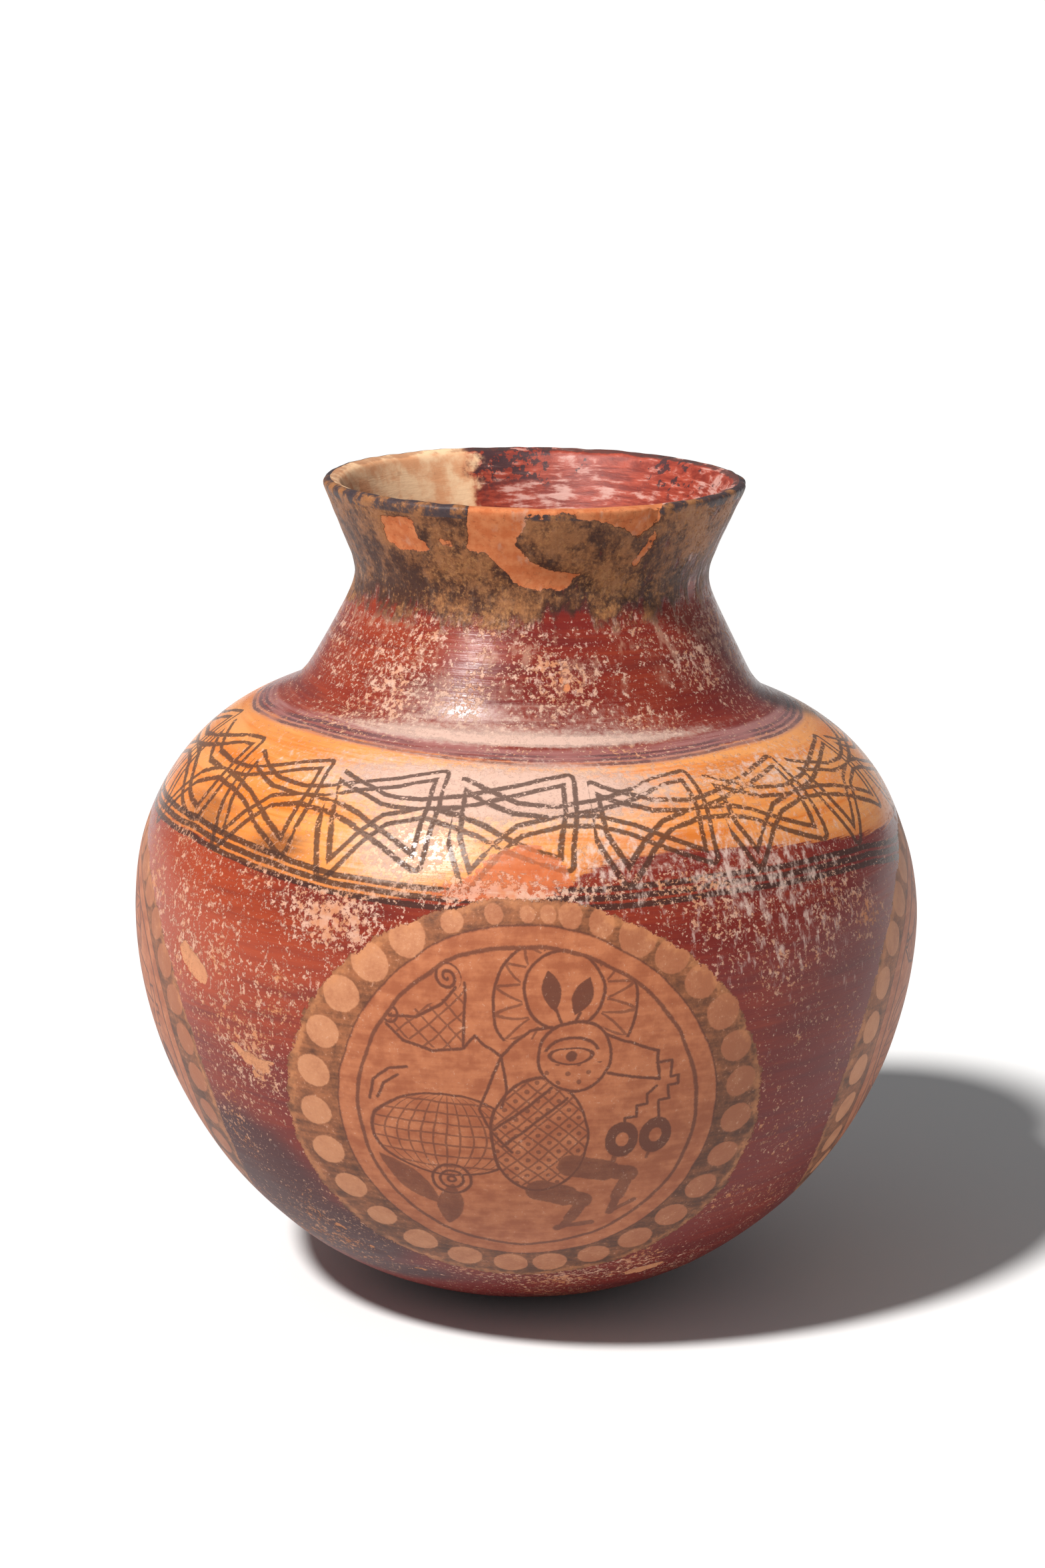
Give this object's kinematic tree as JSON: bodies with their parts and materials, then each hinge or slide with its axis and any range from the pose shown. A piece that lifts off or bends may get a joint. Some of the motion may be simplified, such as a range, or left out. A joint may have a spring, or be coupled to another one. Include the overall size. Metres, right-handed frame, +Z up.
{
  "type": "terracotta jar",
  "caption": "Round-bodied hollow terracotta jar with a conical neck, a flared lip and painted bands and roundels.",
  "frame": {"origin": "middle of the flat spot underneath, on the floor that the jar stands on", "axes": "+Z up along the jar's axis, -Y towards the best roundel, +X to the right of it"},
  "size_m": [0.2692, 0.2692, 0.2806],
  "materials": {
    "slip_painted_terracotta": "burnished red slip over orange clay, worn and flaked, half gloss"
  },
  "bodies": {
    "root": {"jar": "slip_painted_terracotta"}
  },
  "joints": []
}
